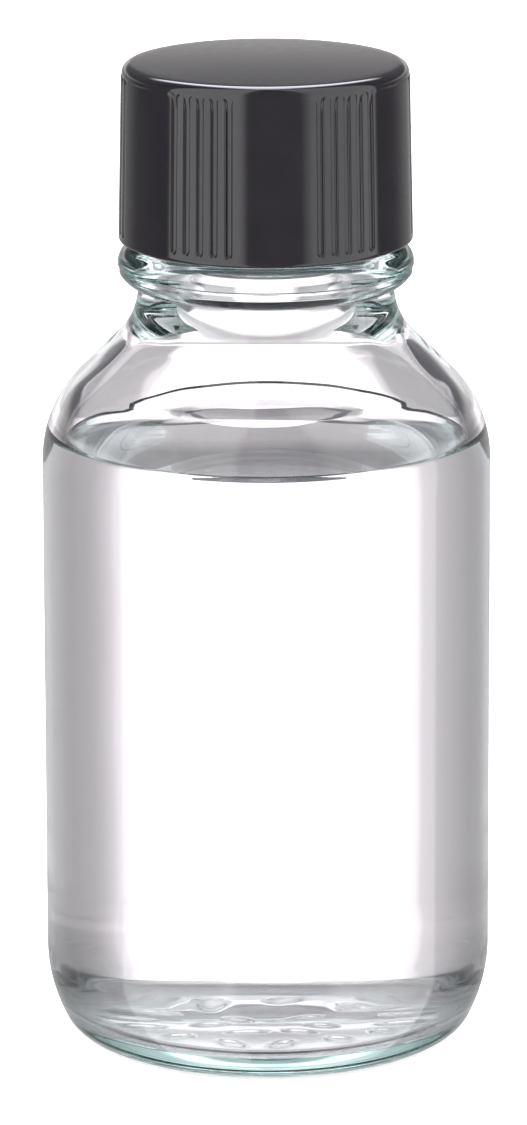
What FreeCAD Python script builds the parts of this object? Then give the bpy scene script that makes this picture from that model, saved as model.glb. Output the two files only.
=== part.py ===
# Reagent bottle: a moulded glass bottle with a threaded finish, its liquid fill, and a grooved screw cap
# that holds a two-layer sealing liner. The origin is the centre of the base, with +Z up the bottle's axis.
import FreeCAD, Part
import math
import os

import Sketcher

# Driving dimensions, in millimetres, degrees, turns or counts
SIZES = {
    # Glass body
    "body_diameter": 46.5,
    "body_wall": 2.1,
    "base_thickness": 1.6,
    "push_up_height": 1.3,
    "bearing_width": 3.0,
    "heel_corner_radius": 4.0,
    "heel_sweep_radius": 16.0,
    "heel_sweep_angle": 27.0,
    "inner_heel_radius": 5.0,
    "shoulder_start": 61.65,
    "shoulder_radius": 12.5,
    "shoulder_slope": 45.0,
    # Neck, transfer bead and finish
    "neck_diameter": 26.5,
    "neck_sweep_radius": 7.3,
    "neck_length": 0.1,
    "inner_neck_sweep": 5.0,
    "bead_projection": 2.05,
    "bead_lower_height": 1.45,
    "bead_lower_radius": 3.0,
    "bead_band": 1.0,
    "bead_upper_radius": 1.9,
    "finish_step": 0.8,
    "finish_wall": 3.45,
    "finish_height": 16.1,
    "lip_radius": 0.8,
    # Screw thread on the glass
    "thread_pitch": 4.233,
    "thread_turns": 1.5,
    "thread_depth": 1.15,
    "thread_root_width": 2.0,
    "thread_crest_width": 0.8,
    "thread_lip_gap": 1.3,
    # Screw cap
    "cap_wall": 1.3,
    "cap_top_thickness": 1.5,
    "cap_dome": 0.2,
    "cap_draft": 1.2,
    "cap_bead_gap": 0.35,
    "cap_edge_radius": 0.5,
    "cap_mouth_radius": 0.4,
    "cap_rim_radius": 1.05,
    "cap_ridge_depth": 1.05,
    "cap_ridge_root_width": 1.6,
    "cap_ridge_crest_width": 0.7,
    "thread_radial_gap": 0.3,
    "thread_flank_gap": 0.2,
    "thread_embed": 0.2,
    # Grip grooves on the cap
    "groove_groups": 6,
    "grooves_per_group": 5,
    "groove_spacing": 6.0,
    "groove_angle": 2.6,
    "first_group_angle": 3.6,
    "groove_depth": 0.3,
    "groove_bottom_band": 0.65,
    "groove_ramp_height": 1.7,
    "groove_overcut": 1.0,
    # Liner and liquid
    "liner_facing_thickness": 0.25,
    "liner_backing_thickness": 1.0,
    "liner_side_gap": 0.3,
    "fill_above_shoulder": 2.85,
    "liquid_film_gap": 0.05,
}

# Radii and heights that follow from the driving dimensions, in the order that they depend on each other
PLACES = {
    # Outside of the glass body
    "body_radius": "Size.body_diameter / 2",
    "heel_turn_radius": "body_radius - Size.heel_sweep_radius * (1 - cos(Size.heel_sweep_angle))",
    "heel_turn_height": "Size.heel_corner_radius * (1 - sin(Size.heel_sweep_angle))",
    "heel_top": "heel_turn_height + Size.heel_sweep_radius * sin(Size.heel_sweep_angle)",
    "bearing_outer": "heel_turn_radius - Size.heel_corner_radius * cos(Size.heel_sweep_angle)",
    "bearing_inner": "bearing_outer - Size.bearing_width",
    "push_up_radius": "(bearing_inner ^ 2 + Size.push_up_height ^ 2) / (2 * Size.push_up_height)",
    "shoulder_end_radius": "body_radius - Size.shoulder_radius * (1 - cos(Size.shoulder_slope))",
    "shoulder_end_height": "Size.shoulder_start + Size.shoulder_radius * sin(Size.shoulder_slope)",
    # Neck, bead and finish
    "neck_radius": "Size.neck_diameter / 2",
    "neck_turn_radius": "neck_radius + Size.neck_sweep_radius * (1 - cos(Size.shoulder_slope))",
    "neck_turn_height": "shoulder_end_height"
    " + (shoulder_end_radius - neck_turn_radius) / tan(Size.shoulder_slope)",
    "neck_bottom": "neck_turn_height + Size.neck_sweep_radius * sin(Size.shoulder_slope)",
    "bead_bottom": "neck_bottom + Size.neck_length",
    "bead_radius": "neck_radius + Size.bead_projection",
    "bead_band_bottom": "bead_bottom + Size.bead_lower_height",
    "bead_band_top": "bead_band_bottom + Size.bead_band",
    "bead_top": "bead_band_top + Size.bead_upper_radius",
    "bead_top_radius": "bead_radius - Size.bead_upper_radius",
    "finish_radius": "neck_radius - Size.finish_step",
    "lip_height": "bead_top + Size.finish_height",
    # Inside of the glass
    "mouth_radius": "finish_radius - Size.finish_wall",
    "inner_radius": "body_radius - Size.body_wall",
    "floor_height": "Size.push_up_height + Size.base_thickness",
    "floor_radius": "inner_radius - Size.inner_heel_radius",
    "inner_heel_top": "floor_height + Size.inner_heel_radius",
    "shoulder_centre": "body_radius - Size.shoulder_radius",
    "inner_shoulder": "Size.shoulder_radius - Size.body_wall",
    "inner_shoulder_end_radius": "shoulder_centre + inner_shoulder * cos(Size.shoulder_slope)",
    "inner_shoulder_end_height": "Size.shoulder_start + inner_shoulder * sin(Size.shoulder_slope)",
    "inner_neck_turn_radius": "mouth_radius + Size.inner_neck_sweep * (1 - cos(Size.shoulder_slope))",
    "inner_neck_turn_height": "inner_shoulder_end_height"
    " + (inner_shoulder_end_radius - inner_neck_turn_radius) / tan(Size.shoulder_slope)",
    "inner_neck_bottom": "inner_neck_turn_height + Size.inner_neck_sweep * sin(Size.shoulder_slope)",
    # Thread on the glass, and the ridge in the cap that runs under it
    "crest_radius": "finish_radius + Size.thread_depth",
    "thread_start": "lip_height - Size.thread_lip_gap - Size.thread_root_width / 2"
    " - Size.thread_turns * Size.thread_pitch",
    "ridge_drop": "(Size.thread_root_width + Size.thread_crest_width + Size.cap_ridge_root_width"
    " + Size.cap_ridge_crest_width) / 4 + Size.thread_flank_gap",
    "ridge_start": "thread_start - ridge_drop",
    # Cap
    "cap_bore": "crest_radius + Size.thread_radial_gap",
    "cap_bottom_radius": "cap_bore + Size.cap_wall",
    "cap_bottom": "bead_top + Size.cap_bead_gap",
    "liner_joint": "lip_height + Size.liner_facing_thickness",
    "cap_ceiling": "liner_joint + Size.liner_backing_thickness",
    "cap_top": "cap_ceiling + Size.cap_top_thickness",
    "cap_rim_height": "cap_top - Size.cap_rim_radius",
    "cap_top_radius": "cap_bottom_radius - (cap_rim_height - cap_bottom) * tan(Size.cap_draft)",
    "cap_flat_radius": "cap_top_radius - Size.cap_rim_radius",
    "cap_dome_radius": "(cap_flat_radius ^ 2 + Size.cap_dome ^ 2) / (2 * Size.cap_dome)",
    "liner_radius": "cap_bore - Size.liner_side_gap",
    # Grooves in the cap's skirt, which ramp out below the rim
    "groove_bottom": "cap_bottom + Size.cap_edge_radius + Size.groove_bottom_band",
    "groove_bottom_radius": "cap_bottom_radius - (groove_bottom - cap_bottom) * tan(Size.cap_draft)",
    "ramp_bottom": "cap_rim_height - Size.groove_ramp_height",
    "ramp_bottom_radius": "cap_top_radius + Size.groove_ramp_height * tan(Size.cap_draft)",
    # Liquid
    "fill_height": "Size.shoulder_start + Size.fill_above_shoulder",
    "liquid_radius": "inner_radius - Size.liquid_film_gap",
    "liquid_floor": "floor_height + Size.liquid_film_gap",
    "liquid_heel": "Size.inner_heel_radius - Size.liquid_film_gap",
    "liquid_shoulder": "inner_shoulder - Size.liquid_film_gap",
    "fill_radius": "shoulder_centre + sqrt(liquid_shoulder ^ 2 - Size.fill_above_shoulder ^ 2)",
}

# Which side of the way of travel the centre of an arc lies on
LEFT = "left"
RIGHT = "right"

# Index numbers of a sketch's origin point and axes, and of a curve's two ends
ORIGIN_INDEX = -1
HORIZONTAL_INDEX = -1
VERTICAL_INDEX = -2
START_INDEX = 1
END_INDEX = 2


def add_sheet(doc, name, cells):
    """A sheet with one named row for each cell."""
    sheet = doc.addObject("Spreadsheet::Sheet", name)
    for row, (alias, text) in enumerate(cells.items(), start=1):
        sheet.set(f"A{row}", alias)
        sheet.set(f"B{row}", text)
        sheet.setAlias(f"B{row}", alias)
    doc.recompute()
    return sheet


def origin_plane(body, role):
    """One of a body's own origin planes."""
    return next(feature for feature in body.Origin.OriginFeatures if feature.Role == role)


def arc_between(start, end, radius, side):
    """The smaller arc from start to end whose centre is on the given side, and its end numbers in order."""
    chord = end.sub(start)
    left = FreeCAD.Vector(-chord.y, chord.x, 0).normalize()
    reach = math.sqrt(max(radius**2 - chord.Length**2 / 4, 0))
    offset = left.multiply(reach if side == LEFT else -reach)
    centre = start.add(end).multiply(0.5).add(offset)
    angles = [math.atan2(point.y - centre.y, point.x - centre.x) for point in (start, end)]
    circle = Part.Circle(centre, FreeCAD.Vector(0, 0, 1), radius)
    if side == LEFT:
        return Part.ArcOfCircle(circle, angles[0], angles[1]), (START_INDEX, END_INDEX)
    return Part.ArcOfCircle(circle, angles[1], angles[0]), (END_INDEX, START_INDEX)


def bind(sketch, constraint, expression):
    """Adds a constraint whose value follows an expression."""
    index = sketch.addConstraint(constraint)
    sketch.setExpression(f"Constraints[{index}]", expression)


def place_point(sketch, element, point, corner, value):
    """Ties one corner of a profile to its radius and its height."""
    radius, height = corner
    if radius == "0":
        sketch.addConstraint(Sketcher.Constraint("PointOnObject", element, point, VERTICAL_INDEX))
    else:
        across = Sketcher.Constraint("DistanceX", ORIGIN_INDEX, START_INDEX, element, point, value.x)
        bind(sketch, across, radius)
    if height == "0":
        sketch.addConstraint(Sketcher.Constraint("PointOnObject", element, point, HORIZONTAL_INDEX))
    else:
        up = Sketcher.Constraint("DistanceY", ORIGIN_INDEX, START_INDEX, element, point, value.y)
        bind(sketch, up, height)


def profile(body, name, steps):
    """A closed sketch in the XZ plane. Each step is a corner (radius, height), and may add the radius and
    side of the arc that leads to it. The last corner is joined to the first by a straight line."""
    sketch = body.newObject("Sketcher::SketchObject", name)
    sketch.AttachmentSupport = [(origin_plane(body, "XZ_Plane"), "")]
    sketch.MapMode = "FlatFace"
    corners = [step[:2] for step in steps]
    points = [
        FreeCAD.Vector(sketch.evalExpression(radius), sketch.evalExpression(height), 0)
        for radius, height in corners
    ]
    ends = []
    for index in range(len(steps)):
        target = (index + 1) % len(steps)
        arc = steps[target][2:]
        if arc:
            radius, side = arc
            curve, order = arc_between(points[index], points[target], sketch.evalExpression(radius), side)
            element = sketch.addGeometry(curve)
            bind(sketch, Sketcher.Constraint("Radius", element, curve.Radius), radius)
        else:
            element = sketch.addGeometry(Part.LineSegment(points[index], points[target]))
            order = (START_INDEX, END_INDEX)
        ends.append((element, *order))
    for (before, _, last), (after, first, _) in zip(ends[-1:] + ends[:-1], ends):
        sketch.addConstraint(Sketcher.Constraint("Coincident", before, last, after, first))
    for (element, first, _), corner, value in zip(ends, corners, points):
        place_point(sketch, element, first, corner, value)
    return sketch


def new_body(doc, label):
    """An empty body with its own label and place."""
    body = doc.addObject("PartDesign::Body", label)
    body.Label = label
    body.Placement = FreeCAD.Placement()
    return body


def revolve(body, name, steps):
    """Turns a profile round the bottle's axis."""
    sketch = profile(body, f"{name}_profile", steps)
    feature = body.newObject("PartDesign::Revolution", name)
    feature.Profile = sketch
    feature.ReferenceAxis = (sketch, ["V_Axis"])
    feature.Angle = 360
    body.Document.recompute()
    return feature


def add_helix(body, name, steps):
    """Winds a ridge round the bottle's axis, right-handed and upwards."""
    before = body.Shape.Volume
    sketch = profile(body, f"{name}_profile", steps)
    feature = body.newObject("PartDesign::AdditiveHelix", name)
    feature.Profile = sketch
    feature.ReferenceAxis = (sketch, ["V_Axis"])
    feature.Mode = "pitch-turns-angle"
    feature.setExpression("Pitch", "Size.thread_pitch")
    feature.setExpression("Turns", "Size.thread_turns")
    feature.Angle = 0
    body.Document.recompute()
    if body.Shape.Volume <= before:
        raise RuntimeError(f"{name} adds nothing")
    return feature


def make_glass_bottle(doc):
    """Body, shoulder, bead and finish turned in one piece, with the thread wound on the finish."""
    body = new_body(doc, "glass_bottle")
    outside = [
        ("0", "Size.push_up_height"),
        ("Place.bearing_inner", "0", "Place.push_up_radius", RIGHT),
        ("Place.bearing_outer", "0"),
        ("Place.heel_turn_radius", "Place.heel_turn_height", "Size.heel_corner_radius", LEFT),
        ("Place.body_radius", "Place.heel_top", "Size.heel_sweep_radius", LEFT),
        ("Place.body_radius", "Size.shoulder_start"),
        ("Place.shoulder_end_radius", "Place.shoulder_end_height", "Size.shoulder_radius", LEFT),
        ("Place.neck_turn_radius", "Place.neck_turn_height"),
        ("Place.neck_radius", "Place.neck_bottom", "Size.neck_sweep_radius", RIGHT),
        ("Place.neck_radius", "Place.bead_bottom"),
        ("Place.bead_radius", "Place.bead_band_bottom", "Size.bead_lower_radius", LEFT),
        ("Place.bead_radius", "Place.bead_band_top"),
        ("Place.bead_top_radius", "Place.bead_top", "Size.bead_upper_radius", LEFT),
        ("Place.finish_radius", "Place.bead_top"),
        ("Place.finish_radius", "Place.lip_height - Size.lip_radius"),
        ("Place.finish_radius - Size.lip_radius", "Place.lip_height", "Size.lip_radius", LEFT),
    ]
    inside = [
        ("Place.mouth_radius + Size.lip_radius", "Place.lip_height"),
        ("Place.mouth_radius", "Place.lip_height - Size.lip_radius", "Size.lip_radius", LEFT),
        ("Place.mouth_radius", "Place.inner_neck_bottom"),
        ("Place.inner_neck_turn_radius", "Place.inner_neck_turn_height", "Size.inner_neck_sweep", LEFT),
        ("Place.inner_shoulder_end_radius", "Place.inner_shoulder_end_height"),
        ("Place.inner_radius", "Size.shoulder_start", "Place.inner_shoulder", RIGHT),
        ("Place.inner_radius", "Place.inner_heel_top"),
        ("Place.floor_radius", "Place.floor_height", "Size.inner_heel_radius", RIGHT),
        ("0", "Place.floor_height"),
    ]
    revolve(body, "glass_wall", outside + inside)
    root = "Place.finish_radius - Size.thread_embed"
    add_helix(
        body,
        "glass_thread",
        [
            (root, "Place.thread_start - Size.thread_root_width / 2"),
            ("Place.crest_radius", "Place.thread_start - Size.thread_crest_width / 2"),
            ("Place.crest_radius", "Place.thread_start + Size.thread_crest_width / 2"),
            (root, "Place.thread_start + Size.thread_root_width / 2"),
        ],
    )
    return body


def make_liquid_fill(doc):
    """The liquid, one thin film away from the glass that holds it."""
    body = new_body(doc, "liquid_fill")
    revolve(
        body,
        "liquid",
        [
            ("0", "Place.liquid_floor"),
            ("Place.floor_radius", "Place.liquid_floor"),
            ("Place.liquid_radius", "Place.inner_heel_top", "Place.liquid_heel", LEFT),
            ("Place.liquid_radius", "Size.shoulder_start"),
            ("Place.fill_radius", "Place.fill_height", "Place.liquid_shoulder", LEFT),
            ("0", "Place.fill_height"),
        ],
    )
    return body


def make_disc(doc, label, bottom, top):
    """One round layer of the liner, between two heights."""
    body = new_body(doc, label)
    corners = [("0", bottom), ("Place.liner_radius", bottom), ("Place.liner_radius", top), ("0", top)]
    revolve(body, f"{label}_disc", corners)
    return body


def cut_groove(body, sketch, index):
    """Cuts one grip groove, counted from the first of its group, and repeats it in every group."""
    before = body.Shape.Volume
    middle = f"Size.first_group_angle + ({index} - (Size.grooves_per_group - 1) / 2) * Size.groove_spacing"
    groove = body.newObject("PartDesign::Groove", f"groove_{index}")
    groove.Profile = sketch
    groove.ReferenceAxis = (sketch, ["V_Axis"])
    groove.Type = "TwoAngles"
    groove.setExpression("Angle", f"{middle} + Size.groove_angle / 2")
    groove.setExpression("Angle2", f"Size.groove_angle / 2 - ({middle})")
    body.Document.recompute()
    pattern = body.newObject("PartDesign::PolarPattern", f"groove_{index}_groups")
    pattern.Originals = [groove]
    pattern.Axis = (sketch, ["V_Axis"])
    pattern.Angle = 360
    pattern.setExpression("Occurrences", "Size.groove_groups")
    body.Tip = pattern
    body.Document.recompute()
    if body.Shape.Volume >= before:
        raise RuntimeError(f"groove {index} cuts nothing")


def cut_grooves(body, grooves):
    """The grip grooves in the skirt: closed at the bottom band, and ramped out below the rim."""
    reach = "Place.cap_bottom_radius + Size.groove_overcut"
    sketch = profile(
        body,
        "groove_profile",
        [
            ("Place.groove_bottom_radius - Size.groove_depth", "Place.groove_bottom"),
            (reach, "Place.groove_bottom"),
            (reach, "Place.cap_rim_height"),
            ("Place.cap_top_radius", "Place.cap_rim_height"),
            ("Place.ramp_bottom_radius - Size.groove_depth", "Place.ramp_bottom"),
        ],
    )
    for index in range(grooves):
        cut_groove(body, sketch, index)


def make_cap_shell(doc):
    """The cap's skirt and top, with the grip grooves cut outside and the thread ridge wound inside."""
    body = new_body(doc, "cap_shell")
    revolve(
        body,
        "cap_wall",
        [
            ("Place.cap_bore", "Place.cap_bottom + Size.cap_mouth_radius"),
            ("Place.cap_bore + Size.cap_mouth_radius", "Place.cap_bottom", "Size.cap_mouth_radius", LEFT),
            ("Place.cap_bottom_radius - Size.cap_edge_radius", "Place.cap_bottom"),
            (
                "Place.cap_bottom_radius - Size.cap_edge_radius * tan(Size.cap_draft)",
                "Place.cap_bottom + Size.cap_edge_radius",
                "Size.cap_edge_radius",
                LEFT,
            ),
            ("Place.cap_top_radius", "Place.cap_rim_height"),
            ("Place.cap_flat_radius", "Place.cap_top", "Size.cap_rim_radius", LEFT),
            ("0", "Place.cap_top + Size.cap_dome", "Place.cap_dome_radius", LEFT),
            ("0", "Place.cap_ceiling"),
            ("Place.cap_bore", "Place.cap_ceiling"),
        ],
    )
    cut_grooves(body, SIZES["grooves_per_group"])
    root = "Place.cap_bore + Size.thread_embed"
    crest = "Place.cap_bore - Size.cap_ridge_depth"
    add_helix(
        body,
        "cap_thread",
        [
            (root, "Place.ridge_start + Size.cap_ridge_root_width / 2"),
            (crest, "Place.ridge_start + Size.cap_ridge_crest_width / 2"),
            (crest, "Place.ridge_start - Size.cap_ridge_crest_width / 2"),
            (root, "Place.ridge_start - Size.cap_ridge_root_width / 2"),
        ],
    )
    return body


def check(doc, bodies):
    """Stops on a failed feature, or on a sub-part that is not one valid solid."""
    for item in doc.Objects:
        if "Invalid" in item.State or "Error" in item.State:
            raise RuntimeError(f"{item.Label} failed: {item.State}")
    for body in bodies:
        shape = body.Shape
        if shape.isNull() or not shape.isValid() or len(shape.Solids) != 1:
            raise RuntimeError(f"{body.Label} is not one valid solid")


def main():
    doc = FreeCAD.newDocument("reagent_bottle")
    add_sheet(doc, "Size", {alias: str(value) for alias, value in SIZES.items()})
    add_sheet(doc, "Place", {alias: f"={formula}" for alias, formula in PLACES.items()})
    bodies = [
        make_glass_bottle(doc),
        make_liquid_fill(doc),
        make_disc(doc, "liner_facing", "Place.lip_height", "Place.liner_joint"),
        make_disc(doc, "liner_backing", "Place.liner_joint", "Place.cap_ceiling"),
        make_cap_shell(doc),
    ]
    doc.recompute()
    check(doc, bodies)
    os.makedirs("parts", exist_ok=True)
    for body in bodies:
        body.Shape.exportStep(f"parts/{body.Label}.step")
        print(f"{body.Label}: {body.Shape.Volume:.1f} mm3")


main()
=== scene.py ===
import math

import bpy
import numpy as np
from mathutils import Matrix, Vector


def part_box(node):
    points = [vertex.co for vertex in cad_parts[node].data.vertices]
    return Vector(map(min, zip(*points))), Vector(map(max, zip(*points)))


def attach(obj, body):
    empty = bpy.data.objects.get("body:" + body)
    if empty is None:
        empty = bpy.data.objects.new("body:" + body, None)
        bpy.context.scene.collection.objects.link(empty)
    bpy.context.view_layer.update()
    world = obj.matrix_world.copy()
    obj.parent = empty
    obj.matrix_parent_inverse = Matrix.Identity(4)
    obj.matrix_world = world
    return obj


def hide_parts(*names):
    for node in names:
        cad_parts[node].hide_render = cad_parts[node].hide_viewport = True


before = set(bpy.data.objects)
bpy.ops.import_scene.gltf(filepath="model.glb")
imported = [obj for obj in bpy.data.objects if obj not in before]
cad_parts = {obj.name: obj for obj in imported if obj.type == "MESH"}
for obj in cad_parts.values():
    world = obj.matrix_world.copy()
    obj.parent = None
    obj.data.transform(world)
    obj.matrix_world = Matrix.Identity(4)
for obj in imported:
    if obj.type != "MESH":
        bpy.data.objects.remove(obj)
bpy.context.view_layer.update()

MM = 0.001
SEED = 11

# Camera of the photograph: its place, its tilt and its focal length in pixels of the picture
IMAGE_HEIGHT = 1125
FOCAL_PIXELS = 7128
SENSOR = 36.0
CAMERA_PLACE = (-0.34 * MM, -720.0 * MM, 233.5 * MM)
CAMERA_PITCH = 14.28
CAMERA_ROLL = -0.17

# Places that follow from the solids
LIQUID_GAP = 0.05 * MM
BODY_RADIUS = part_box("glass_bottle")[1].x
LIP_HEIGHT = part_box("glass_bottle")[1].z
INNER_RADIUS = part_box("liquid_fill")[1].x + LIQUID_GAP
FLOOR_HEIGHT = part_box("liquid_fill")[0].z - LIQUID_GAP
FILL_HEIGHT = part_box("liquid_fill")[1].z
CAP_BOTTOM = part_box("cap_shell")[0].z
CAP_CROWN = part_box("cap_shell")[1].z
CAP_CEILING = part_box("liner_backing")[1].z
LINER_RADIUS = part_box("liner_backing")[1].x

# Glass body
GLASS_SEGMENTS = 224
PUSH_UP = 1.3 * MM
BEARING_WIDTH = 3.0 * MM
HEEL_CORNER = 4.0 * MM
HEEL_SWEEP = 16.0 * MM
HEEL_ANGLE = 27.0
INNER_HEEL = 5.0 * MM
WALL_START = 10.0 * MM
SHOULDER_START = 61.65 * MM
SHOULDER_RADIUS = 12.5 * MM
SHOULDER_SLOPE = 45.0

# Neck, transfer bead and finish
NECK_RADIUS = 13.25 * MM
NECK_SWEEP = 7.3 * MM
NECK_STRAIGHT = 0.1 * MM
INNER_NECK_SWEEP = 5.0 * MM
BEAD_RADIUS = 15.3 * MM
BEAD_LOWER_RADIUS = 15.15 * MM
BEAD_LOWER_ROUND = 3.0 * MM
BEAD_LOWER_HEIGHT = 1.4 * MM
BEAD_UPPER_ROUND = 1.9 * MM
BEAD_HEIGHT = 4.35 * MM
PARTING_HEIGHT = 2.05 * MM
PARTING_DEPTH = 0.14 * MM
PARTING_WIDTH = 0.16 * MM
FINISH_RADIUS = 12.45 * MM
FINISH_FILLET = 0.5 * MM
MOUTH_RADIUS = 9.0 * MM
LIP_ROUND = 0.8 * MM

# Screw threads: one on the glass and the ridge that runs under it in the cap
THREAD_PITCH = 4.233 * MM
THREAD_TURNS = 1.5
THREAD_FADE = 35.0
THREAD_DEPTH = 1.15 * MM
THREAD_HALF_WIDTH = 0.95 * MM
THREAD_CREST = 1.2
THREAD_TOP_GAP = 2.3 * MM
RIDGE_DEPTH = 1.05 * MM
RIDGE_HALF_WIDTH = 0.75 * MM
RIDGE_DROP = 1.475 * MM

# Unevenness of the blown inside. The shoulder's own waves start above the fill line, and both kinds die away
# at the bore and the floor, by shares of the mouth's radius and of the floor's height.
BODY_RIPPLE = 0.009 * MM
SHOULDER_RIPPLE = 0.02 * MM
RIPPLE_WAVES = 16
BODY_WAVES = {"most_around": 6, "longest": 60 * MM, "shortest": 18 * MM}
SHOULDER_WAVES = {"most_around": 20, "longest": 12 * MM, "shortest": 4 * MM}
SHOULDER_WAVES_START = 2.0 * MM
SHOULDER_WAVES_FULL = 6.0 * MM
BORE_CALM = 1.5
FLOOR_CALM = 3.0

# Plain pips moulded under the base: each ring's radius and count, and its pips' half length and half width.
# The scatter is a share of their spacing, the tilt is in radians, and the limit is a share of the push-up.
PIP_HEIGHT = 0.45 * MM
PIP_RINGS = ((10.6 * MM, 13, 1.9 * MM, 1.0 * MM), (4.6 * MM, 6, 1.5 * MM, 0.9 * MM))
PIP_SCATTER = 0.15
PIP_TILT = 0.9
PIP_STRAY = 0.6 * MM
PIP_STEEPNESS = 2.2
PIP_LIMIT = 0.8

# Liquid: it reaches a hair into the glass, so that no air lies between, and climbs the wall. Its surface has
# close rows of points near its edge and wide ones further in, by shares of its radius.
LIQUID_SEGMENTS = 192
LIQUID_OVERLAP = 0.04 * MM
CONTACT_DROP = 0.05 * MM
MENISCUS_RISE = 1.4 * MM
MENISCUS_LENGTH = 1.1 * MM
CLOSE_ROWS_FROM = 0.6
WIDE_ROWS_TO = 0.55

# Screw cap
CAP_RADIUS = 15.2 * MM
CAP_DRAFT = 1.2
CAP_BORE = 13.9 * MM
CAP_EDGE = 0.5 * MM
CAP_MOUTH = 0.4 * MM
CAP_RIM = 1.05 * MM
CAP_RIM_START = 4.0
CAP_DOME = 0.2 * MM
GROOVE_GROUPS = 6
GROOVES_PER_GROUP = 5
GROOVE_SPACING = 6.0
GROUP_MARGIN = 0.4
GROUP_STEPS = 108
PANEL_STEPS = 18
FIRST_GROUP = 3.6
GROOVE_DEPTH = 0.33 * MM
GROOVE_FLOOR = 0.21 * MM
GROOVE_WALL = 0.18 * MM
GROOVE_BOTTOM = 1.15 * MM
GROOVE_RAMP = 1.7 * MM
PAD_CORNER = 0.75 * MM
PAD_TOP = 0.05 * MM
RIM_STEP = 0.06 * MM

# Rows of points up the cap's skirt, close at both ends of the grooves and wide between: the first three are
# distances up from its bottom edge, and the last two are distances down from the foot of the grooves' ramp
LOW_ROWS_START = CAP_EDGE + 0.05 * MM
LOW_ROWS_STOP = 2.0 * MM
WIDE_ROWS_START = 2.6 * MM
WIDE_ROWS_STOP = 0.5 * MM
HIGH_ROWS_START = 0.2 * MM

# Liner
LINER_SEGMENTS = 128
LINER_EDGE = 0.06 * MM

# Clear materials: index of refraction, and the colour and density that tint light by depth
GLASS_INDEX = 1.52
GLASS_TINT = (0.55, 0.96, 0.90)
GLASS_DENSITY = 25
LIQUID_INDEX = 1.33
LIQUID_TINT = (0.6, 0.8, 0.9)
LIQUID_DENSITY = 0.8

# Finish by height: the glass is worn dull near the table, and the cap is satin near its crown
WEAR_START = 0.5 * MM
WEAR_FULL = 0.1 * MM
SATIN_START = 0.26 * MM
SATIN_FULL = 0.16 * MM
SATIN_ROUGHNESS = 0.11

# Table, and the shade under it: a painted shadow of the bottle on the table
FLOOR_SIZE = 4.0
FLOOR_POINTS = 9
FLOOR_GLOW = 0.72
FLOOR_GAP = 0.05 * MM
SHADE_DEPTH = 30 * MM
SHADE_THICKNESS = 1.0 * MM
SHADE_RADIUS = 63.5 * MM
SHADE_SEGMENTS = 96

# Studio light in (degrees, brightness) stops: round the bottle from the middle of the backdrop, with the
# right positive, or up from level. A pair of numbers is where a change starts and ends. First what the
# surfaces mirror: softboxes to the sides, and behind the bottle a bright sweep that dims upward, with a top
# light over it.
SOFTBOXES = [
    (-180, 0.35), (-166, 0.35), (-160, 2.3), (-100, 2.3), (-98, 0.2), (-60, 0.2), (-52, 0.3), (-45, 0.4),
    (-30, 0.5), (-21, 0.6), (21, 0.6), (30, 0.5), (45, 0.4), (52, 0.3), (60, 0.2), (82, 0.2), (84, 2.0),
    (143, 2.0), (152, 0.35), (180, 0.35),
]
PLAIN = (1.0, 1.0, 1.0)
SWEEP_LOW = (2.15, 2.05, 1.95)
SWEEP_DIM = (0.2, 0.2, 0.22)
SWEEP_HIGH = (0.25, 0.25, 0.26)
SWEEP_FADE = (2, 12)
SWEEP_TOP = (16, 27)
SWEEP_SIDE = 70
SWEEP_SOFT = 20
SKYLINE = (1, 9)
TOP_LIGHT = (10, 10, 10.8)
TOP_LIGHT_LOW = 38
TOP_LIGHT_HIGH = 84
TOP_LIGHT_SOFT = 4
TOP_LIGHT_SIDE = 34
TOP_LIGHT_SIDE_SOFT = 16

# Then what shows through the glass: a white card behind the bottle, which narrows above a slanted edge,
# with dim surroundings and a dark curtain at each side, and by height what stands above the card
CARD = [
    (-180, 1.4), (-156, 1.4), (-152, 0.7), (-128, 0.45), (-118, 0.9), (-74, 0.8), (-66, 0.44), (-57, 0.30),
    (-47, 0.31), (-42, 0.35), (-37, 0.43), (-32, 0.50), (-27.5, 0.57), (-24, 0.65), (-22.8, 0.95),
    (-21.3, 0.97), (-20.2, 1.4), (18.4, 1.4), (19.6, 1.15), (20.9, 0.90), (22.3, 0.86), (23.6, 0.66),
    (25.3, 0.54), (27.2, 0.43), (29, 0.37), (37, 0.31), (42, 0.29), (50, 0.32), (60, 0.33), (68, 0.5),
    (76, 0.8), (180, 1.4),
]
CARD_TINT = (1.13, 1.0, 1.06)
CARD_SLANT = 0.5
CARD_EDGE = (-13.6, -11.6)
CARD_NARROWING = 3.0
CARD_SIDE = 25.5
CURTAIN = (0.11, 0.10, 0.115)
CURTAIN_INNER = (15, 20)
CURTAIN_OUTER = (60, 45)
CURTAIN_FOOT = (-7, 2)
CURTAIN_LIFT = 5
HIGH = [
    (-180, 1.35), (12.8, 1.35), (13.6, 0.6), (16, 0.6), (17, 0.8), (19.3, 0.8), (20.5, 1.7), (26, 1.7),
    (31, 0.48), (38, 0.48), (60, 1.15), (180, 1.15),
]
HIGH_START = (6, 9)
HIGH_SIDE = (0.42, 0.4, 0.42)
HIGH_SIDE_FADE = (12, 50)


def arc(centre, radius, start, stop, count):
    """Points of an arc in the plane of radius and height."""
    turn = np.radians(np.linspace(start, stop, count))
    return np.column_stack((centre[0] + radius * np.cos(turn), centre[1] + radius * np.sin(turn)))


def line(start, stop, count):
    """Evenly spaced points from start to stop."""
    return np.column_stack([np.linspace(a, b, count) for a, b in zip(start, stop)])


def join(*runs):
    """One outline from runs of points, without the points that two runs share."""
    points = np.vstack(runs)
    apart = np.linalg.norm(np.diff(points, axis=0), axis=1) > 1e-7
    return points[np.concatenate(([True], apart))]


def smooth_step(value, low, high):
    """0 below low, 1 above high, and a smooth rise between."""
    share = np.clip((value - low) / (high - low), 0, 1)
    return share * share * (3 - 2 * share)


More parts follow.
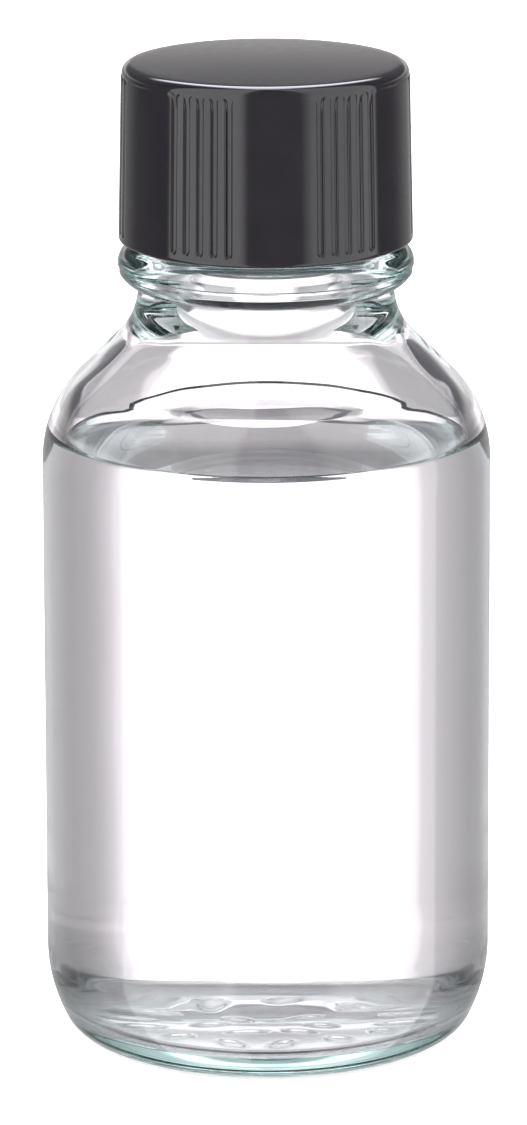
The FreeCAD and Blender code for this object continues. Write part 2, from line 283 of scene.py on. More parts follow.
def even_angles(count):
    """The angles of a full turn in equal steps."""
    return np.linspace(0, 360, count, endpoint=False)


def skin(name, radius, height, angles):
    """A closed smooth mesh from rows of radius and height at each angle. Its end rows are poles."""
    turn = np.radians(angles)
    rows = np.stack((radius * np.cos(turn), radius * np.sin(turn), height), axis=2)
    count, across = rows.shape[0] - 2, rows.shape[1]
    poles = [(0, 0, height[0].mean()), (0, 0, height[-1].mean())]
    points = np.vstack((rows[1:-1].reshape(-1, 3), poles))
    first, last = count * across, count * across + 1
    here = np.arange(across)
    after = np.roll(here, -1)
    faces = []
    for row in range(count - 1):
        low, high = row * across, (row + 1) * across
        faces.append(np.column_stack((low + here, low + after, high + after, high + here)))
    quads = np.vstack(faces).tolist()
    top = (count - 1) * across
    fans = [(first, b, a) for a, b in zip(here.tolist(), after.tolist())]
    fans += [(last, top + a, top + b) for a, b in zip(here.tolist(), after.tolist())]
    mesh = bpy.data.meshes.new(name)
    mesh.from_pydata(points.tolist(), [], quads + fans)
    mesh.update()
    mesh.shade_smooth()
    piece = bpy.data.objects.new(name, mesh)
    bpy.context.scene.collection.objects.link(piece)
    return piece


def spread(outline, angles):
    """An outline's radius and height repeated at every angle."""
    radius = np.repeat(outline[:, :1], len(angles), axis=1)
    height = np.repeat(outline[:, 1:], len(angles), axis=1)
    return radius, height


def helix(angles, height, start, half_width):
    """How far a rounded thread stands out, from 0 to 1, at each angle and height. It fades at both ends."""
    out = np.zeros_like(height)
    end = 360 * THREAD_TURNS
    for lap in range(math.ceil(THREAD_TURNS)):
        along = angles + 360 * lap
        off = (height - start - THREAD_PITCH * along / 360) / half_width
        shape = np.where(np.abs(off) < 1, np.cos(np.pi / 2 * np.clip(off, -1, 1)) ** THREAD_CREST, 0)
        fade = smooth_step(along, 0, THREAD_FADE) * smooth_step(end - along, 0, THREAD_FADE)
        out = np.maximum(out, shape * fade)
    return out


def ripple(angles, height, random, most_around, longest, shortest):
    """Waves round and up the bottle, between about -1 and 1, of lengths up the wall between two limits."""
    total = np.zeros_like(height)
    for _ in range(RIPPLE_WAVES):
        around = random.integers(-most_around, most_around + 1)
        upward = 2 * np.pi / random.uniform(shortest, longest)
        phase = random.uniform(0, 2 * np.pi)
        total += np.sin(np.radians(angles) * around + height * upward + phase)
    return total / math.sqrt(RIPPLE_WAVES)


def pips(angles, radius, random):
    """Plain oval pips in two rings under the base, as heights from 0 to 1."""
    x = radius * np.cos(np.radians(angles))
    y = radius * np.sin(np.radians(angles))
    total = np.zeros_like(radius)
    for ring, count, long, short in PIP_RINGS:
        for index in range(count):
            place = 2 * np.pi * (index + random.uniform(-PIP_SCATTER, PIP_SCATTER)) / count
            tilt = place + random.uniform(-PIP_TILT, PIP_TILT)
            reach = ring + random.uniform(-PIP_STRAY, PIP_STRAY)
            dx = x - reach * math.cos(place)
            dy = y - reach * math.sin(place)
            along = (dx * math.cos(tilt) + dy * math.sin(tilt)) / long
            aside = (dy * math.cos(tilt) - dx * math.sin(tilt)) / short
            total = np.maximum(total, np.exp(-((along**2 + aside**2) ** PIP_STEEPNESS)))
    return total


def glass_base():
    """The push-up from the axis to the bearing ring, and the outline from there round the heel."""
    slope = math.radians(HEEL_ANGLE)
    turn_radius = BODY_RADIUS - HEEL_SWEEP * (1 - math.cos(slope))
    corner_radius = turn_radius - HEEL_CORNER * math.cos(slope)
    sweep_height = HEEL_CORNER * (1 - math.sin(slope)) + HEEL_SWEEP * math.sin(slope)
    inner = corner_radius - BEARING_WIDTH
    across = np.linspace(0, inner, 88)
    dome = np.column_stack((across, PUSH_UP * (1 - (across / inner) ** 2)))
    return dome, join(
        line((inner, 0), (corner_radius, 0), 6),
        arc((corner_radius, HEEL_CORNER), HEEL_CORNER, -90, -HEEL_ANGLE, 16),
        arc((BODY_RADIUS - HEEL_SWEEP, sweep_height), HEEL_SWEEP, -HEEL_ANGLE, 0, 16),
    )


def shoulder_points():
    """Where the sloping shoulder line starts and ends outside, and the height of the neck above it."""
    slope = math.radians(SHOULDER_SLOPE)
    low = (
        BODY_RADIUS - SHOULDER_RADIUS * (1 - math.cos(slope)),
        SHOULDER_START + SHOULDER_RADIUS * math.sin(slope),
    )
    high_radius = NECK_RADIUS + NECK_SWEEP * (1 - math.cos(slope))
    high = (high_radius, low[1] + (low[0] - high_radius) / math.tan(slope))
    return low, high, high[1] + NECK_SWEEP * math.sin(slope)


def glass_bead(bottom):
    """Transfer bead: a smaller lower lobe, the fine groove of the mould's parting, and an upper lobe."""
    lobe_top = bottom + BEAD_LOWER_HEIGHT
    parting = bottom + PARTING_HEIGHT
    top = bottom + BEAD_HEIGHT
    band_top = top - BEAD_UPPER_ROUND
    reach = math.hypot(BEAD_LOWER_RADIUS - NECK_RADIUS, BEAD_LOWER_HEIGHT)
    spread_angle = 2 * math.degrees(math.asin(reach / 2 / BEAD_LOWER_ROUND))
    lean = math.degrees(math.atan2(BEAD_LOWER_HEIGHT, BEAD_LOWER_RADIUS - NECK_RADIUS))
    middle = lean - 90
    centre = (
        BEAD_LOWER_RADIUS - BEAD_LOWER_ROUND * math.cos(math.radians(middle + spread_angle / 2)),
        lobe_top - BEAD_LOWER_ROUND * math.sin(math.radians(middle + spread_angle / 2)),
    )
    return join(
        arc(centre, BEAD_LOWER_ROUND, middle - spread_angle / 2, middle + spread_angle / 2, 14),
        line((BEAD_LOWER_RADIUS, lobe_top), (BEAD_LOWER_RADIUS, parting - PARTING_WIDTH), 4),
        line((BEAD_LOWER_RADIUS, parting - PARTING_WIDTH), (BEAD_LOWER_RADIUS - PARTING_DEPTH, parting), 4),
        line((BEAD_LOWER_RADIUS - PARTING_DEPTH, parting), (BEAD_RADIUS, parting + PARTING_WIDTH), 4),
        line((BEAD_RADIUS, parting + PARTING_WIDTH), (BEAD_RADIUS, band_top), 4),
        arc((BEAD_RADIUS - BEAD_UPPER_ROUND, band_top), BEAD_UPPER_ROUND, 0, 90, 16),
    )


def glass_outside():
    """Outside of the glass above the heel, up to the top of the finish."""
    low, high, neck = shoulder_points()
    bead = neck + NECK_STRAIGHT
    bead_top = bead + BEAD_HEIGHT
    fillet = (FINISH_RADIUS + FINISH_FILLET, bead_top + FINISH_FILLET)
    return join(
        line((BODY_RADIUS, WALL_START), (BODY_RADIUS, SHOULDER_START), 27),
        arc((BODY_RADIUS - SHOULDER_RADIUS, SHOULDER_START), SHOULDER_RADIUS, 0, SHOULDER_SLOPE, 24),
        line(low, high, 9),
        arc((NECK_RADIUS + NECK_SWEEP, neck), NECK_SWEEP, 180 + SHOULDER_SLOPE, 180, 18),
        glass_bead(bead),
        arc(fillet, FINISH_FILLET, 270, 180, 6),
        line((FINISH_RADIUS, fillet[1]), (FINISH_RADIUS, LIP_HEIGHT - LIP_ROUND), 50),
        arc((FINISH_RADIUS - LIP_ROUND, LIP_HEIGHT - LIP_ROUND), LIP_ROUND, 0, 90, 8),
    )


def glass_inside():
    """Inside of the glass, from the lip down to the middle of the floor."""
    slope = math.radians(SHOULDER_SLOPE)
    inner_shoulder = SHOULDER_RADIUS - (BODY_RADIUS - INNER_RADIUS)
    centre = (BODY_RADIUS - SHOULDER_RADIUS, SHOULDER_START)
    low = (centre[0] + inner_shoulder * math.cos(slope), centre[1] + inner_shoulder * math.sin(slope))
    high_radius = MOUTH_RADIUS + INNER_NECK_SWEEP * (1 - math.cos(slope))
    high = (high_radius, low[1] + (low[0] - high_radius) / math.tan(slope))
    neck = high[1] + INNER_NECK_SWEEP * math.sin(slope)
    heel = (INNER_RADIUS - INNER_HEEL, FLOOR_HEIGHT + INNER_HEEL)
    return join(
        arc((MOUTH_RADIUS + LIP_ROUND, LIP_HEIGHT - LIP_ROUND), LIP_ROUND, 90, 180, 8),
        line((MOUTH_RADIUS, LIP_HEIGHT - LIP_ROUND), (MOUTH_RADIUS, neck), 12),
        arc((MOUTH_RADIUS + INNER_NECK_SWEEP, neck), INNER_NECK_SWEEP, 180, 180 + SHOULDER_SLOPE, 12),
        line(high, low, 22),
        arc(centre, inner_shoulder, SHOULDER_SLOPE, 0, 22),
        line((INNER_RADIUS, SHOULDER_START), (INNER_RADIUS, heel[1]), 27),
        arc(heel, INNER_HEEL, 0, -90, 20),
        line((heel[0], FLOOR_HEIGHT), (0, FLOOR_HEIGHT), 14),
    )


def make_glass():
    """The bottle: one closed skin with its thread, the pips under its base and its uneven inside."""
    random = np.random.default_rng(SEED)
    angles = even_angles(GLASS_SEGMENTS)
    dome_outline, heel = glass_base()
    outside, inside = glass_outside(), glass_inside()
    dome_radius, dome_height = spread(dome_outline, angles)
    pip_height = np.minimum(PIP_HEIGHT, PIP_LIMIT * dome_height)
    dome_height = dome_height - pip_height * pips(angles, dome_radius, random)
    wall_radius, wall_height = spread(join(heel, outside), angles)
    thread_start = LIP_HEIGHT - THREAD_TOP_GAP - THREAD_TURNS * THREAD_PITCH
    wall_radius = wall_radius + THREAD_DEPTH * helix(angles, wall_height, thread_start, THREAD_HALF_WIDTH)
    inner_radius, inner_height = spread(inside, angles)
    slow = BODY_RIPPLE * ripple(angles, inner_height, random, **BODY_WAVES)
    fine = SHOULDER_RIPPLE * ripple(angles, inner_height, random, **SHOULDER_WAVES)
    above = smooth_step(inner_height - FILL_HEIGHT, SHOULDER_WAVES_START, SHOULDER_WAVES_FULL)
    aside = np.cos(np.radians(angles)) ** 2
    wave = slow + above * (aside * fine - slow)
    wave = wave * smooth_step(inner_radius, MOUTH_RADIUS, BORE_CALM * MOUTH_RADIUS)
    inner_radius = inner_radius + wave * smooth_step(inner_height, FLOOR_HEIGHT, FLOOR_CALM * FLOOR_HEIGHT)
    return skin(
        "bottle_glass",
        np.vstack((dome_radius, wall_radius, inner_radius)),
        np.vstack((dome_height, wall_height, inner_height)),
        angles,
    )


def make_liquid():
    """The liquid, with a meniscus that climbs the wall to the fill line."""
    angles = even_angles(LIQUID_SEGMENTS)
    reach = INNER_RADIUS + LIQUID_OVERLAP
    heel = (INNER_RADIUS - INNER_HEEL, FLOOR_HEIGHT + INNER_HEEL)
    centre = (BODY_RADIUS - SHOULDER_RADIUS, SHOULDER_START)
    bend = SHOULDER_RADIUS - (BODY_RADIUS - INNER_RADIUS) + LIQUID_OVERLAP
    contact = FILL_HEIGHT - CONTACT_DROP
    lean = math.degrees(math.asin((contact - SHOULDER_START) / bend))
    edge = centre[0] + bend * math.cos(math.radians(lean))
    close = np.linspace(edge, CLOSE_ROWS_FROM * edge, 40)
    across = np.concatenate((close, np.linspace(WIDE_ROWS_TO * edge, 0, 10)))
    surface = contact - MENISCUS_RISE * (1 - np.exp((across - edge) / MENISCUS_LENGTH))
    outline = join(
        line((0, FLOOR_HEIGHT - LIQUID_OVERLAP), (heel[0], FLOOR_HEIGHT - LIQUID_OVERLAP), 12),
        arc(heel, INNER_HEEL + LIQUID_OVERLAP, -90, 0, 20),
        line((reach, heel[1]), (reach, SHOULDER_START), 27),
        arc(centre, bend, 0, lean, 6),
        np.column_stack((across, surface)),
    )
    return skin("liquid", *spread(outline, angles), angles)


def cap_angles():
    """Angles round the cap, close together in the groups of grooves and far apart on the plain panels."""
    step = 360 / GROOVE_GROUPS
    half = (GROOVES_PER_GROUP + GROUP_MARGIN) / 2 * GROOVE_SPACING
    dense = np.linspace(-half, half, GROUP_STEPS, endpoint=False)
    sparse = np.linspace(half, step - half, PANEL_STEPS, endpoint=False)
    group = np.concatenate((dense, sparse))
    return np.concatenate([FIRST_GROUP + group + step * index for index in range(GROOVE_GROUPS)])


def pad_share(angles, radius, height, top):
    """1 on the raised pads of the cap's skirt, 0 on the floors of the grooves and above the pads."""
    step = 360 / GROOVE_GROUPS
    inside = (angles - FIRST_GROUP + step / 2) % step - step / 2
    edge = (GROOVES_PER_GROUP - 1) / 2 * GROOVE_SPACING
    nearest = np.clip(np.round(inside / GROOVE_SPACING) * GROOVE_SPACING, -edge, edge)
    aside = np.radians(np.abs(inside - nearest)) * radius
    below = np.maximum(CAP_BOTTOM + GROOVE_BOTTOM + GROOVE_WALL - height, 0)
    aside = np.hypot(aside, below) - GROOVE_FLOOR
    between = np.radians(GROOVE_SPACING / 2) * radius - GROOVE_FLOOR
    half_pad = np.where(np.abs(inside) < edge, between, PAD_CORNER)
    corner = np.minimum(PAD_CORNER, half_pad)
    under = top - height
    rounded = corner - np.hypot(np.maximum(corner - aside, 0), np.maximum(corner - under, 0))
    depth = np.where((aside < corner) & (under < corner), rounded, np.minimum(aside, under))
    return smooth_step(depth, 0, GROOVE_WALL)


def cap_outlines():
    """Three runs of the cap's outline (inside, skirt, rim and top), and the height where the rim starts."""
    top = CAP_CROWN - CAP_DOME
    rim = top - CAP_RIM
    draft = math.tan(math.radians(CAP_DRAFT))
    rim_radius = CAP_RADIUS - (rim - CAP_BOTTOM) * draft - RIM_STEP
    flat = rim_radius - CAP_RIM
    across = np.linspace(flat, 0, 14)
    inside = join(
        line((0, CAP_CEILING), (CAP_BORE - CAP_MOUTH, CAP_CEILING), 6),
        arc((CAP_BORE - CAP_MOUTH, CAP_CEILING - CAP_MOUTH), CAP_MOUTH, 90, 0, 6),
        line((CAP_BORE, CAP_CEILING - CAP_MOUTH), (CAP_BORE, CAP_BOTTOM + CAP_MOUTH), 40),
        arc((CAP_BORE + CAP_MOUTH, CAP_BOTTOM + CAP_MOUTH), CAP_MOUTH, 180, 270, 6),
        arc((CAP_RADIUS - CAP_EDGE, CAP_BOTTOM + CAP_EDGE), CAP_EDGE, 270, 360 - CAP_DRAFT, 8),
    )
    ramp = rim - GROOVE_RAMP
    heights = np.concatenate(
        (
            np.linspace(CAP_BOTTOM + LOW_ROWS_START, CAP_BOTTOM + LOW_ROWS_STOP, 12),
            np.linspace(CAP_BOTTOM + WIDE_ROWS_START, ramp - WIDE_ROWS_STOP, 8),
            np.linspace(ramp - HIGH_ROWS_START, rim, 20),
        )
    )
    skirt = np.column_stack((CAP_RADIUS - (heights - CAP_BOTTOM) * draft, heights))
    crown = join(
        arc((flat, rim), CAP_RIM, CAP_RIM_START, 90, 12),
        np.column_stack((across, top + CAP_DOME * (1 - (across / flat) ** 2))),
    )
    return inside, skirt, crown, rim


def make_cap():
    """The cap: one closed skin with its grooves and pads outside and its thread ridge inside."""
    angles = cap_angles()
    inside, skirt, crown, rim = cap_outlines()
    bore_radius, bore_height = spread(inside, angles)
    ridge_start = LIP_HEIGHT - THREAD_TOP_GAP - THREAD_TURNS * THREAD_PITCH - RIDGE_DROP
    on_bore = np.abs(bore_radius - CAP_BORE) < CAP_MOUTH
    ridge = helix(angles % 360, bore_height, ridge_start, RIDGE_HALF_WIDTH)
    bore_radius = bore_radius - RIDGE_DEPTH * ridge * on_bore
    skirt_radius, skirt_height = spread(skirt, angles)
    ramp = np.clip((rim - skirt_height) / GROOVE_RAMP, 0, 1)
    depth = RIM_STEP + (GROOVE_DEPTH - RIM_STEP) * ramp
    pads = pad_share(angles, skirt_radius, skirt_height, rim - PAD_TOP)
    skirt_radius = skirt_radius - depth * (1 - pads)
    crown_radius, crown_height = spread(crown, angles)
    return skin(
        "cap",
        np.vstack((bore_radius, skirt_radius, crown_radius)),
        np.vstack((bore_height, skirt_height, crown_height)),
        angles,
    )


def make_disc(name, node):
    """One layer of the liner: a punched disc with slightly rounded edges."""
    low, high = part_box(node)
    angles = even_angles(LINER_SEGMENTS)
    edge = LINER_RADIUS - LINER_EDGE
    outline = join(
        line((0, low.z), (edge, low.z), 12),
        arc((edge, low.z + LINER_EDGE), LINER_EDGE, -90, 0, 5),
        arc((edge, high.z - LINER_EDGE), LINER_EDGE, 0, 90, 5),
        line((edge, high.z), (0, high.z), 12),
    )
    return skin(name, *spread(outline, angles), angles)


def new_material(name):
    """A material with only its output, its Principled shader and the object's own coordinates."""
    material = bpy.data.materials.new(name)
    material.use_nodes = True
    tree = material.node_tree
    shader = tree.nodes["Principled BSDF"]
    place = tree.nodes.new("ShaderNodeTexCoord").outputs["Object"]
    return material, tree, shader, place


def noise(tree, place, scale, detail=3.0):
    """A noise pattern of the given scale, as a value from 0 to 1."""
    made = tree.nodes.new("ShaderNodeTexNoise")
    made.inputs["Scale"].default_value = scale
    made.inputs["Detail"].default_value = detail
    tree.links.new(place, made.inputs["Vector"])
    return made.outputs["Fac"]


def ranged(tree, value, low, high):
    """A pattern's middle range stretched between two numbers."""
    made = tree.nodes.new("ShaderNodeMapRange")
    for socket, number in zip(("From Min", "From Max", "To Min", "To Max"), (0.3, 0.7, low, high)):
        made.inputs[socket].default_value = number
    tree.links.new(value, made.inputs["Value"])
    return made.outputs["Result"]


def blend_colours(tree, value, first, second):
    """A colour between two, by a pattern."""
    made = tree.nodes.new("ShaderNodeValToRGB")
    for element, place, colour in zip(made.color_ramp.elements, (0.3, 0.7), (first, second)):
        element.position = place
        element.color = (*colour, 1)
    tree.links.new(value, made.inputs["Fac"])
    return made.outputs["Color"]


def bump(tree, shader, value, distance, strength):
    """Raises the surface by a pattern."""
    made = tree.nodes.new("ShaderNodeBump")
    made.inputs["Distance"].default_value = distance
    made.inputs["Strength"].default_value = strength
    tree.links.new(value, made.inputs["Height"])
    tree.links.new(made.outputs["Normal"], shader.inputs["Normal"])


def absorb(tree, colour, density):
    """Colours light by the depth of clear material that it passes through."""
    made = tree.nodes.new("ShaderNodeVolumeAbsorption")
    made.inputs["Color"].default_value = (*colour, 1)
    made.inputs["Density"].default_value = density
    tree.links.new(made.outputs["Volume"], tree.nodes["Material Output"].inputs["Volume"])


def compute(tree, operation, *values):
    """The result of a math node whose inputs are numbers or sockets."""
    made = tree.nodes.new("ShaderNodeMath")
    made.operation = operation
    for socket, value in zip(made.inputs, values):
        if isinstance(value, (int, float)):
            socket.default_value = value
        else:
            tree.links.new(value, socket)
    return made.outputs["Value"]


def rise(tree, value, start, stop):
    """A smooth rise from 0 to 1 while a value goes from start to stop."""
    made = tree.nodes.new("ShaderNodeMapRange")
    made.interpolation_type = "SMOOTHSTEP"
    made.inputs["From Min"].default_value = start
    made.inputs["From Max"].default_value = stop
    tree.links.new(value, made.inputs["Value"])
    return made.outputs["Result"]


def window(tree, value, low, high, soft):
    """1 while a value lies between low and high, with soft edges."""
    up = rise(tree, value, low - soft, low + soft)
    down = rise(tree, value, high + soft, high - soft)
    return compute(tree, "MULTIPLY", up, down)


def levels(tree, value, stops, tint):
    """A tint whose brightness follows (degrees, brightness) stops from -180 to 180."""
    made = tree.nodes.new("ShaderNodeValToRGB")
    ramp = made.color_ramp
    while len(ramp.elements) < len(stops):
        ramp.elements.new(0.5)
    for element, (angle, bright) in zip(ramp.elements, stops):
        element.position = (angle + 180) / 360
        element.color = (*[bright * part for part in tint], 1)
    share = compute(tree, "MULTIPLY_ADD", value, 1 / 360, 0.5)
    tree.links.new(share, made.inputs["Fac"])
    return made.outputs["Color"]


def mix(tree, share, first, second):
    """One colour at share 0, the other at share 1."""
    made = tree.nodes.new("ShaderNodeMix")
    made.data_type = "RGBA"
    for socket, value in ((made.inputs[0], share), (made.inputs[6], first), (made.inputs[7], second)):
        if isinstance(value, tuple):
            socket.default_value = (*value, 1)
        else:
            tree.links.new(value, socket)
    return made.outputs[2]


def height_of(tree, place):
    """The height in a set of coordinates."""
    split = tree.nodes.new("ShaderNodeSeparateXYZ")
    tree.links.new(place, split.inputs["Vector"])
    return split.outputs["Z"]


def glass_material():
    """Clear soda-lime glass: green in thick places, faintly wavy, and worn dull where it stands."""
    material, tree, shader, place = new_material("clear_glass")
    shader.inputs["IOR"].default_value = GLASS_INDEX
    shader.inputs["Transmission Weight"].default_value = 1
    tint = blend_colours(tree, noise(tree, place, 60), (0.985, 1, 0.995), (1, 1, 1))
    tree.links.new(tint, shader.inputs["Base Color"])
    worn = rise(tree, height_of(tree, place), WEAR_START, WEAR_FULL)
    smooth = ranged(tree, noise(tree, place, 250), 0, 0.012)
    rough = ranged(tree, noise(tree, place, 1500), 0.25, 0.5)
    tree.links.new(compute(tree, "MULTIPLY_ADD", worn, rough, smooth), shader.inputs["Roughness"])
    bump(tree, shader, noise(tree, place, 110, 1.0), 0.1 * MM, 0.05)
    absorb(tree, GLASS_TINT, GLASS_DENSITY)
    return material


def liquid_material():
    """Clear water-like liquid with a faint cool tint and a barely uneven surface."""
    material, tree, shader, place = new_material("clear_liquid")
    shader.inputs["IOR"].default_value = LIQUID_INDEX
    shader.inputs["Transmission Weight"].default_value = 1
    tint = blend_colours(tree, noise(tree, place, 40), (0.99, 0.995, 1), (1, 1, 1))
    tree.links.new(tint, shader.inputs["Base Color"])
    shader.inputs["Roughness"].default_value = 0
    bump(tree, shader, noise(tree, place, 90, 0.0), 0.05 * MM, 0.1)
    absorb(tree, LIQUID_TINT, LIQUID_DENSITY)
    return material


def cap_material():
    """Black moulded phenolic: glossy sides, a satin top and a fine moulding grain."""
    material, tree, shader, place = new_material("cap_phenolic")
    colour = blend_colours(tree, noise(tree, place, 400), (0.0088, 0.0078, 0.0100), (0.0115, 0.0102, 0.0128))
    tree.links.new(colour, shader.inputs["Base Color"])
    satin = rise(tree, height_of(tree, place), CAP_CROWN - SATIN_START, CAP_CROWN - SATIN_FULL)
    gloss = ranged(tree, noise(tree, place, 900), 0.07, 0.11)
    rough = compute(tree, "MULTIPLY_ADD", satin, SATIN_ROUGHNESS, gloss)
    tree.links.new(rough, shader.inputs["Roughness"])
    bump(tree, shader, noise(tree, place, 2600, 4.0), 0.01 * MM, 0.08)
    return material


def film_material():
    """Smooth white sealing film with a faint drawn grain."""
    material, tree, shader, place = new_material("liner_film")
    colour = blend_colours(tree, noise(tree, place, 500), (0.86, 0.86, 0.84), (0.93, 0.93, 0.91))
    tree.links.new(colour, shader.inputs["Base Color"])
    tree.links.new(ranged(tree, noise(tree, place, 1200), 0.3, 0.42), shader.inputs["Roughness"])
    bump(tree, shader, noise(tree, place, 1800), 0.01 * MM, 0.3)
    return material


def foam_material():
    """Off-white foam with fine open cells."""
    material, tree, shader, place = new_material("liner_foam")
    cells = tree.nodes.new("ShaderNodeTexVoronoi")
    cells.inputs["Scale"].default_value = 2600
    tree.links.new(place, cells.inputs["Vector"])
    colour = blend_colours(tree, cells.outputs["Distance"], (0.72, 0.70, 0.66), (0.86, 0.85, 0.82))
    tree.links.new(colour, shader.inputs["Base Color"])
    tree.links.new(ranged(tree, noise(tree, place, 700), 0.75, 0.92), shader.inputs["Roughness"])
    bump(tree, shader, cells.outputs["Distance"], 0.05 * MM, 0.7)
    return material


def finish_piece(piece, body, node, material):
    """Gives a piece its material, ties it to its body, and hides the solid that it stands for."""
    piece.data.materials.append(material)
    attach(piece, body)
    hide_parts(node)


def make_floor():
    """A plain white table that glows a little, so that it stays white to its edges."""
    steps = np.linspace(-FLOOR_SIZE / 2, FLOOR_SIZE / 2, FLOOR_POINTS)
    points = [(x, y, -FLOOR_GAP) for y in steps for x in steps]
    rows = range(FLOOR_POINTS - 1)
    corners = (0, 1, FLOOR_POINTS + 1, FLOOR_POINTS)
    faces = [[FLOOR_POINTS * b + a + corner for corner in corners] for b in rows for a in rows]
    mesh = bpy.data.meshes.new("floor")
    mesh.from_pydata(points, [], faces)
    floor = bpy.data.objects.new("floor", mesh)
    bpy.context.scene.collection.objects.link(floor)
    material, tree, shader, place = new_material("floor_white")
    shade = blend_colours(tree, noise(tree, place, 8), (0.88, 0.88, 0.88), (0.9, 0.9, 0.9))
    tree.links.new(shade, shader.inputs["Base Color"])
    shader.inputs["Roughness"].default_value = 0.9
    shader.inputs["Specular IOR Level"].default_value = 0
    shader.inputs["Emission Color"].default_value = (1, 1, 1, 1)
    shader.inputs["Emission Strength"].default_value = FLOOR_GLOW
    mesh.materials.append(material)
    floor.visible_glossy = False
    floor.visible_transmission = False


def make_painted_shadow():
    """A dim grey glowing disc under the table, a painted shadow of the bottle on the table, which shows only
    through the glass and the liquid's surface.
    """
    angles = even_angles(SHADE_SEGMENTS)
    bottom = -SHADE_DEPTH - SHADE_THICKNESS
    outline = join(
        line((0, bottom), (SHADE_RADIUS, bottom), 8),
        line((SHADE_RADIUS, -SHADE_DEPTH), (0, -SHADE_DEPTH), 24),
    )
    shade = skin("shade", *spread(outline, angles), angles)
    material, tree, shader, place = new_material("painted_shadow_grey")
    # Painted shadow: the disc glows dim grey in place of the table's shade near the bottle
    glow = blend_colours(tree, noise(tree, place, 120), (0.02, 0.02, 0.025), (0.14, 0.13, 0.15))
    shader.inputs["Base Color"].default_value = (0, 0, 0, 1)
    shader.inputs["Specular IOR Level"].default_value = 0
    tree.links.new(glow, shader.inputs["Emission Color"])
    shader.inputs["Emission Strength"].default_value = 1
    shade.data.materials.append(material)
    shade.visible_camera = False
    shade.visible_diffuse = False
    shade.visible_glossy = False
    shade.visible_shadow = False


def mirrored_light(tree, around, upward):
    """What the surfaces mirror: softboxes all round, and behind the bottle the sweep and its top light."""
    softboxes = levels(tree, around, SOFTBOXES, PLAIN)
    sweep = mix(tree, rise(tree, upward, *SWEEP_FADE), SWEEP_LOW, SWEEP_DIM)
    sweep = mix(tree, rise(tree, upward, *SWEEP_TOP), sweep, SWEEP_HIGH)
    dome = mix(tree, window(tree, around, -SWEEP_SIDE, SWEEP_SIDE, SWEEP_SOFT), softboxes, sweep)
    tall = window(tree, upward, TOP_LIGHT_LOW, TOP_LIGHT_HIGH, TOP_LIGHT_SOFT)
    wide = window(tree, around, -TOP_LIGHT_SIDE, TOP_LIGHT_SIDE, TOP_LIGHT_SIDE_SOFT)
    dome = mix(tree, compute(tree, "MULTIPLY", tall, wide), dome, TOP_LIGHT)
    return mix(tree, rise(tree, upward, *SKYLINE), softboxes, dome)


def light_through_glass(tree, around, upward):
    """What shows through the glass: the card, the curtains beside it and what stands above them."""
    aside = compute(tree, "ABSOLUTE", around)
    slanted = compute(tree, "MULTIPLY_ADD", aside, -CARD_SLANT, upward)
    narrow = compute(tree, "MULTIPLY_ADD", rise(tree, slanted, *CARD_EDGE), CARD_NARROWING, 1.0)
    grown = compute(tree, "MINIMUM", compute(tree, "MULTIPLY", aside, narrow), CARD_SIDE)
    grown = compute(tree, "MAXIMUM", grown, aside)
    grown = compute(tree, "MULTIPLY", grown, compute(tree, "SIGN", around))
    card = levels(tree, grown, CARD, CARD_TINT)
    curtain = compute(tree, "MULTIPLY", rise(tree, aside, *CURTAIN_INNER), rise(tree, aside, *CURTAIN_OUTER))
    dark = compute(tree, "MULTIPLY", curtain, rise(tree, upward, *CURTAIN_FOOT))
    card = mix(tree, dark, card, CURTAIN)
    high = levels(tree, upward, HIGH, CARD_TINT)
    high = mix(tree, rise(tree, aside, *HIGH_SIDE_FADE), high, HIGH_SIDE)
    above = compute(tree, "MULTIPLY_ADD", curtain, -CURTAIN_LIFT, upward)
    return mix(tree, rise(tree, above, *HIGH_START), card, high)


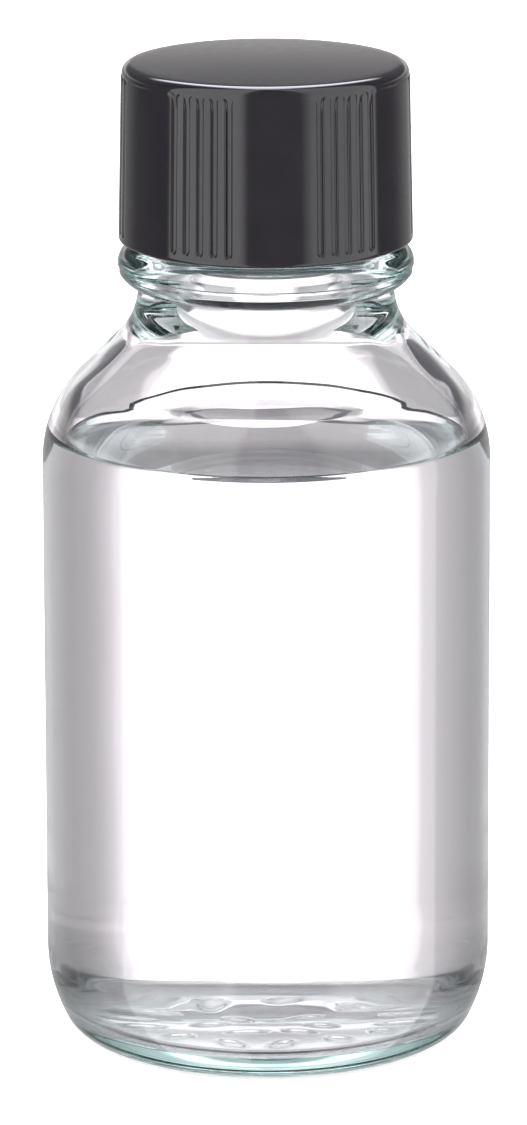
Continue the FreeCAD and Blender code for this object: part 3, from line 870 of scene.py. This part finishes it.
def make_world():
    """Soft studio light from all round on a white ground, with its own view behind the glass."""
    world = bpy.data.worlds.new("studio")
    bpy.context.scene.world = world
    world.use_nodes = True
    tree = world.node_tree
    split = tree.nodes.new("ShaderNodeSeparateXYZ")
    tree.links.new(tree.nodes.new("ShaderNodeTexCoord").outputs["Generated"], split.inputs["Vector"])
    x, y, z = split.outputs
    around = compute(tree, "DEGREES", compute(tree, "ARCTAN2", x, y))
    upward = compute(tree, "DEGREES", compute(tree, "ARCSINE", z))
    path = tree.nodes.new("ShaderNodeLightPath")
    mirrored = mirrored_light(tree, around, upward)
    through = light_through_glass(tree, around, upward)
    light = mix(tree, path.outputs["Is Transmission Ray"], mirrored, through)
    light = mix(tree, path.outputs["Is Camera Ray"], light, PLAIN)
    tree.links.new(light, tree.nodes["Background"].inputs["Color"])


def make_camera():
    """The photograph's view."""
    data = bpy.data.cameras.new("camera")
    data.sensor_width = SENSOR
    data.lens = SENSOR * FOCAL_PIXELS / IMAGE_HEIGHT
    camera = bpy.data.objects.new("camera", data)
    tilt = Matrix.Rotation(math.radians(90 - CAMERA_PITCH), 4, "X")
    roll = Matrix.Rotation(math.radians(CAMERA_ROLL), 4, "Z")
    camera.matrix_world = Matrix.Translation(CAMERA_PLACE) @ tilt @ roll
    bpy.context.scene.collection.objects.link(camera)
    bpy.context.scene.camera = camera


def set_render():
    """Plain colours, enough bounces for glass in glass, and a clean picture."""
    scene = bpy.context.scene
    scene.view_settings.view_transform = "Standard"
    scene.cycles.max_bounces = 24
    scene.cycles.transmission_bounces = 24
    scene.cycles.glossy_bounces = 12
    scene.cycles.diffuse_bounces = 4
    scene.cycles.use_denoising = True
    scene.cycles.sample_clamp_indirect = 12


finish_piece(make_glass(), "bottle", "glass_bottle", glass_material())
finish_piece(make_liquid(), "bottle", "liquid_fill", liquid_material())
finish_piece(make_cap(), "cap", "cap_shell", cap_material())
film = make_disc("liner_film", "liner_facing")
foam = make_disc("liner_foam", "liner_backing")
finish_piece(film, "liner", "liner_facing", film_material())
finish_piece(foam, "liner", "liner_backing", foam_material())
make_floor()
make_painted_shadow()
make_world()
make_camera()
set_render()
